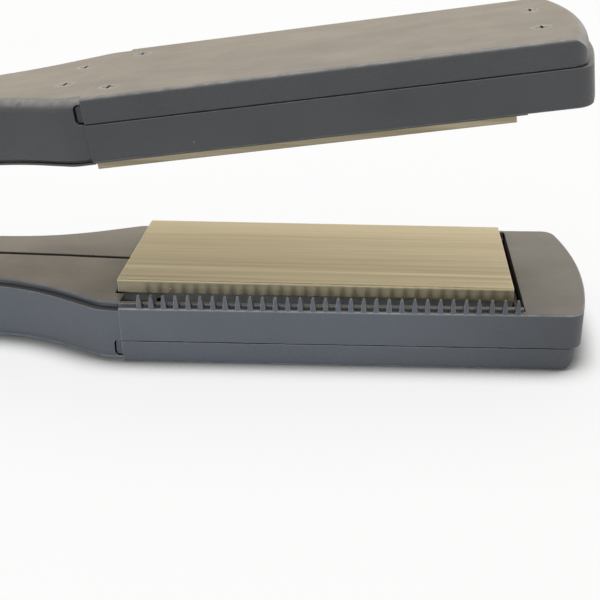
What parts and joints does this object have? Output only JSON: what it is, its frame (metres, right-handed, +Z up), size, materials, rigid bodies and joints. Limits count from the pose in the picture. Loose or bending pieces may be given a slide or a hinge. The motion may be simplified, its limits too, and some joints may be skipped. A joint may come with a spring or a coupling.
{
  "type": "hair iron with flat plates and comb teeth",
  "caption": "Hand-held hair iron: hinged plastic arms with floating coated metal plates, comb teeth along the heads, power rocker and temperature dial.",
  "frame": {"origin": "centre of the footprint on the table, under the lower arm; X = 0 is halfway between nose and cord collar", "axes": "+X from the hinge to the nose along the plates, +Y across the plates away from the comb side of the lower arm, +Z up from the table"},
  "size_m": [0.3296, 0.05, 0.0734],
  "materials": {
    "shell_plastic": "fine moulded grain, charcoal with a cool cast",
    "liner_plastic": "smoother satin, warm charcoal",
    "carrier_plastic": "glass-filled heat-resistant plastic",
    "end_block_plastic": "heat-resistant, grey-black",
    "plate_coating": "champagne coating, brushed along the length",
    "heater_ceramic": "fired and unglazed",
    "mica": "thin amber sheet",
    "spring_steel": "drawn wire and sheet",
    "lead_sleeve": "woven glass sleeve",
    "screw_steel": "dark zinc",
    "pin_steel": "ground",
    "sensor_glass": "glass bead",
    "nylon": "natural",
    "cap_plastic": "satin",
    "panel_plastic": "satin",
    "rocker_plastic": "fine grain",
    "dial_plastic": "fine grain",
    "lens": "tinted",
    "board": "solder mask",
    "switch_plastic": "moulded",
    "collar_rubber": "matt"
  },
  "bodies": {
    "lower_arm": {"lower_shell": "shell_plastic", "lower_liner_near": "liner_plastic", "lower_liner_far": "liner_plastic", "lower_head_frame": "shell_plastic", "lower_head_cover": "shell_plastic", "lower_plate_carrier": "carrier_plastic", "lower_plate_spring_rear": "spring_steel", "lower_plate_spring_front": "spring_steel", "lower_heater_leads": "lead_sleeve", "lower_head_screws": "screw_steel", "lower_handle_screws": "screw_steel", "control_panel": "panel_plastic", "control_board": "board", "switch_block": "switch_plastic", "dial_pot": "switch_plastic", "indicator_lens": "lens", "hinge_pin": "pin_steel", "hinge_caps": "cap_plastic", "opening_spring": "spring_steel", "cord_clamp": "nylon", "clamp_screws": "screw_steel"},
    "lower_plate": {"lower_heating_plate": "plate_coating", "lower_plate_end_block": "end_block_plastic", "lower_heater": "heater_ceramic", "lower_heater_insulator": "mica", "lower_heater_clip": "spring_steel", "lower_thermistor": "sensor_glass"},
    "upper_arm": {"upper_shell": "shell_plastic", "upper_liner_near": "liner_plastic", "upper_liner_far": "liner_plastic", "upper_head_frame": "shell_plastic", "upper_head_cover": "shell_plastic", "upper_plate_carrier": "carrier_plastic", "upper_plate_spring_rear": "spring_steel", "upper_plate_spring_front": "spring_steel", "upper_heater_leads": "lead_sleeve", "upper_head_screws": "screw_steel", "upper_handle_screws": "screw_steel", "hinge_bushes": "nylon"},
    "upper_plate": {"upper_heating_plate": "plate_coating", "upper_plate_end_block": "end_block_plastic", "upper_heater": "heater_ceramic", "upper_heater_insulator": "mica", "upper_heater_clip": "spring_steel", "upper_thermal_fuse": "pin_steel"},
    "power_rocker": {"power_rocker": "rocker_plastic"},
    "temperature_dial": {"temperature_dial": "dial_plastic"},
    "cord_swivel": {"cord_collar": "collar_rubber"}
  },
  "joints": [
    {"name": "jaw_hinge", "type": "hinge", "parent": "lower_arm", "child": "upper_arm", "pos_m": [-0.1477, 0, 0.02027], "axis": [0, -1, 0], "range_deg": [-7.32, 0], "stiffness_Nm_per_rad": 1.5, "springref_deg": 13.18, "deforming": ["opening_spring"]},
    {"name": "lower_plate_float", "type": "slide", "parent": "lower_arm", "child": "lower_plate", "axis": [0.0119, 0, 0.9999], "range_m": [-0.0012, 0], "stiffness_N_per_m": 1500, "springref_m": 0.002, "deforming": ["lower_plate_spring_rear", "lower_plate_spring_front"]},
    {"name": "upper_plate_float", "type": "slide", "parent": "upper_arm", "child": "upper_plate", "axis": [0.1167, 0, -0.9932], "range_m": [-0.0012, 0], "stiffness_N_per_m": 1500, "springref_m": 0.002, "deforming": ["upper_plate_spring_rear", "upper_plate_spring_front"]},
    {"name": "power_rocker_tilt", "type": "hinge", "parent": "lower_arm", "child": "power_rocker", "pos_m": [-0.064, 0, 0.0156], "axis": [0, -1, 0], "range_deg": [0, 16]},
    {"name": "temperature_dial_turn", "type": "hinge", "parent": "lower_arm", "child": "temperature_dial", "pos_m": [-0.038, 0, 0.019], "axis": [0, 0, 1], "range_deg": [0, 270]},
    {"name": "cord_swivel_turn", "type": "hinge", "parent": "lower_arm", "child": "cord_swivel", "pos_m": [-0.1595, 0, 0.008], "axis": [1, 0, 0], "continuous": true}
  ]
}
